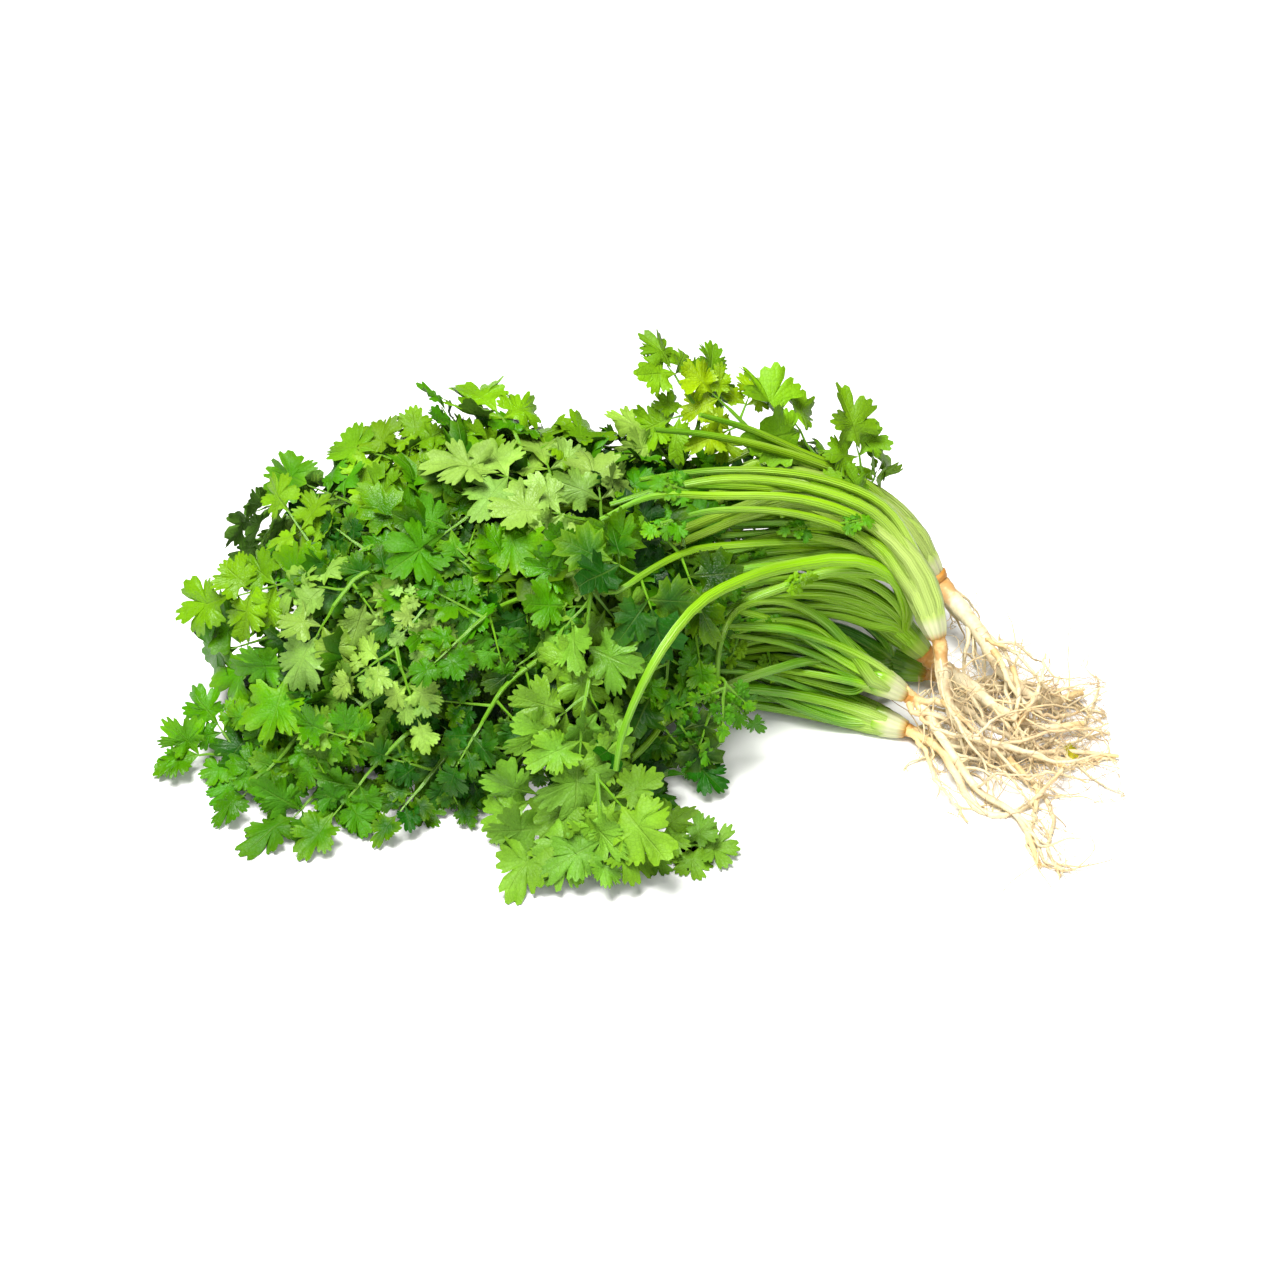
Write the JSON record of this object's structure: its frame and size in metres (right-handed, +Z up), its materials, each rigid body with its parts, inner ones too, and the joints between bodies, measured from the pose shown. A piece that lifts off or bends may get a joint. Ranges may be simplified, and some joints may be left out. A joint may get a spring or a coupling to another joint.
{
  "type": "cilantro bunch",
  "caption": "Bunch of whole fresh cilantro plants lying on its side, with lobed leaves heaped at one end, arching stalks, pale crowns and bare fibrous roots.",
  "frame": {"origin": "on the surface that the bunch lies on, under the middle of its bounding box", "axes": "+X toward the root ends and -X toward the leaf tips, +Y toward the far side of the heap, +Z up from the surface"},
  "size_m": [0.3412, 0.2032, 0.1116],
  "materials": {
    "leaf": "thin fresh green leaf, satin, pale underneath, with glossy yellow-green stalks",
    "crown": "pale green-white, smooth and moist, ribbed along its length",
    "root": "cream to tan root skin, matt, finely ringed"
  },
  "bodies": {
    "root": {"crown_back": "crown", "root_back": "root", "leafy_stem_back_1": "leaf", "leafy_stem_back_2": "leaf", "leafy_stem_back_3": "leaf", "leafy_stem_back_4": "leaf", "leafy_stem_back_5": "leaf", "leafy_stem_back_6": "leaf", "leafy_stem_back_7": "leaf", "leafy_stem_back_8": "leaf", "leafy_stem_back_9": "leaf", "crown_top": "crown", "root_top": "root", "leafy_stem_top_1": "leaf", "leafy_stem_top_2": "leaf", "leafy_stem_top_3": "leaf", "leafy_stem_top_4": "leaf", "leafy_stem_top_5": "leaf", "leafy_stem_top_6": "leaf", "leafy_stem_top_7": "leaf", "leafy_stem_top_8": "leaf", "crown_middle": "crown", "root_middle": "root", "leafy_stem_middle_1": "leaf", "leafy_stem_middle_2": "leaf", "leafy_stem_middle_3": "leaf", "leafy_stem_middle_4": "leaf", "leafy_stem_middle_5": "leaf", "leafy_stem_middle_6": "leaf", "leafy_stem_middle_7": "leaf", "leafy_stem_middle_8": "leaf", "crown_front": "crown", "root_front": "root", "leafy_stem_front_1": "leaf", "leafy_stem_front_2": "leaf", "leafy_stem_front_3": "leaf", "leafy_stem_front_4": "leaf", "leafy_stem_front_5": "leaf", "crown_low": "crown", "root_low": "root", "leafy_stem_low_1": "leaf", "leafy_stem_low_2": "leaf", "leafy_stem_low_3": "leaf", "leafy_stem_low_4": "leaf", "leafy_stem_low_5": "leaf", "crown_under": "crown", "root_under": "root", "leafy_stem_under_1": "leaf", "leafy_stem_under_2": "leaf", "leafy_stem_under_3": "leaf", "leafy_stem_under_4": "leaf", "leafy_stem_under_5": "leaf", "leafy_stem_under_6": "leaf", "leafy_stem_under_7": "leaf"}
  },
  "joints": []
}
